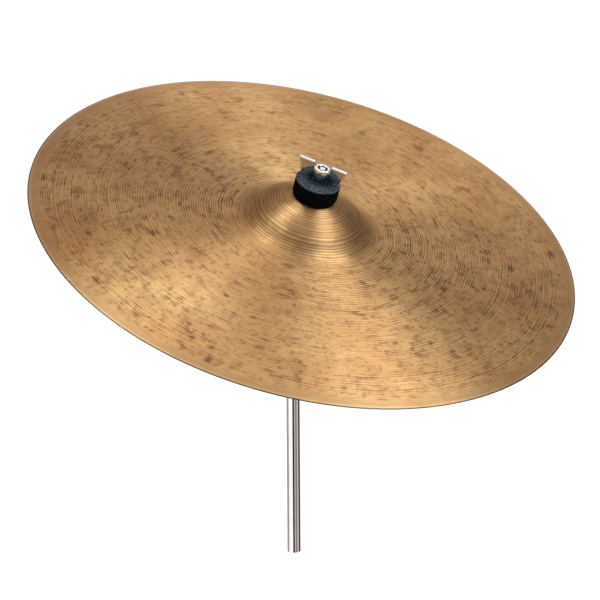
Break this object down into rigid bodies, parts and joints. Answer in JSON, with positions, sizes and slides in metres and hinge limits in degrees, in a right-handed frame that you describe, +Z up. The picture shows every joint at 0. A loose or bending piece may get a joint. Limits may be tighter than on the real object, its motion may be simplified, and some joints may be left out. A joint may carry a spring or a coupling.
{
  "type": "crash cymbal on tilter",
  "caption": "Bronze crash cymbal with hammered bow and bell, held by felts and a wing nut on a tilting rod at the top of a chrome stand tube.",
  "frame": {"origin": "centre of the upper stand tube's open lower end", "axes": "+Z up along the tube, -Y towards the player, the way the cymbal leans; X along the tilter's axis, +X towards its clamp wing nut"},
  "size_m": [0.508, 0.471, 0.3907],
  "materials": {
    "bronze": "lathed and hammered bronze with brown patina",
    "felt": "pressed charcoal wool felt",
    "chrome": "bright chrome plate",
    "cast_metal": "chrome plate over a die casting",
    "zinc": "bright zinc plated steel",
    "nylon": "black moulded nylon",
    "fibre": "pressed fibre"
  },
  "bodies": {
    "stand_tube": {"upper_tube": "chrome", "tilter_base": "cast_metal", "tube_pin": "zinc", "friction_disc": "fibre", "pivot_bolt": "zinc"},
    "tilter_washers": {"clamp_washer": "zinc", "spring_washer": "zinc"},
    "tilter_wing_nut": {"clamp_wing_nut": "chrome"},
    "tilter_head": {"tilter_head": "cast_metal", "cymbal_rod": "zinc", "rod_lock_washer": "zinc", "rod_lock_nut": "zinc", "cymbal_seat": "nylon", "seat_washer": "zinc", "rod_sleeve": "nylon"},
    "felts": {"lower_felt": "felt", "upper_felt": "felt"},
    "cymbal": {"cymbal": "bronze"},
    "nut_washer": {"nut_washer": "chrome"},
    "wing_nut": {"wing_nut": "chrome"}
  },
  "joints": [
    {"name": "tilter_tilt", "type": "hinge", "parent": "stand_tube", "child": "tilter_head", "pos_m": [0, 0, 0.285], "axis": [1, 0, 0], "range_deg": [-97, 53]},
    {"name": "cymbal_spin", "type": "hinge", "parent": "tilter_head", "child": "felts", "pos_m": [0.009, -0.02278, 0.34137], "axis": [0, -0.3746, 0.9272], "continuous": true},
    {"name": "cymbal_rock", "type": "hinge", "parent": "felts", "child": "cymbal", "pos_m": [0.009, -0.02278, 0.34137], "axis": [1, 0, 0], "range_deg": [-8, 8], "stiffness_Nm_per_rad": 13, "springref_deg": 1.01, "deforming": ["lower_felt", "upper_felt"]},
    {"name": "wing_nut_lift", "type": "slide", "parent": "tilter_head", "child": "nut_washer", "axis": [0, -0.3746, 0.9272], "range_m": [0, 0.01]},
    {"name": "wing_nut_turn", "type": "hinge", "parent": "nut_washer", "child": "wing_nut", "pos_m": [0.009, -0.02278, 0.34137], "axis": [0, -0.3746, 0.9272], "range_deg": [0, 2880]},
    {"name": "clamp_nut_travel", "type": "slide", "parent": "stand_tube", "child": "tilter_washers", "axis": [1, 0, 0], "range_m": [0, 0.0025]},
    {"name": "clamp_nut_turn", "type": "hinge", "parent": "tilter_washers", "child": "tilter_wing_nut", "pos_m": [0, 0, 0.285], "axis": [1, 0, 0], "range_deg": [0, 720]}
  ],
  "couplings": [
    {"joint": "wing_nut_lift", "follows": "wing_nut_turn", "m_per_rad": 0.00019894},
    {"joint": "clamp_nut_travel", "follows": "clamp_nut_turn", "m_per_rad": 0.00019894}
  ]
}
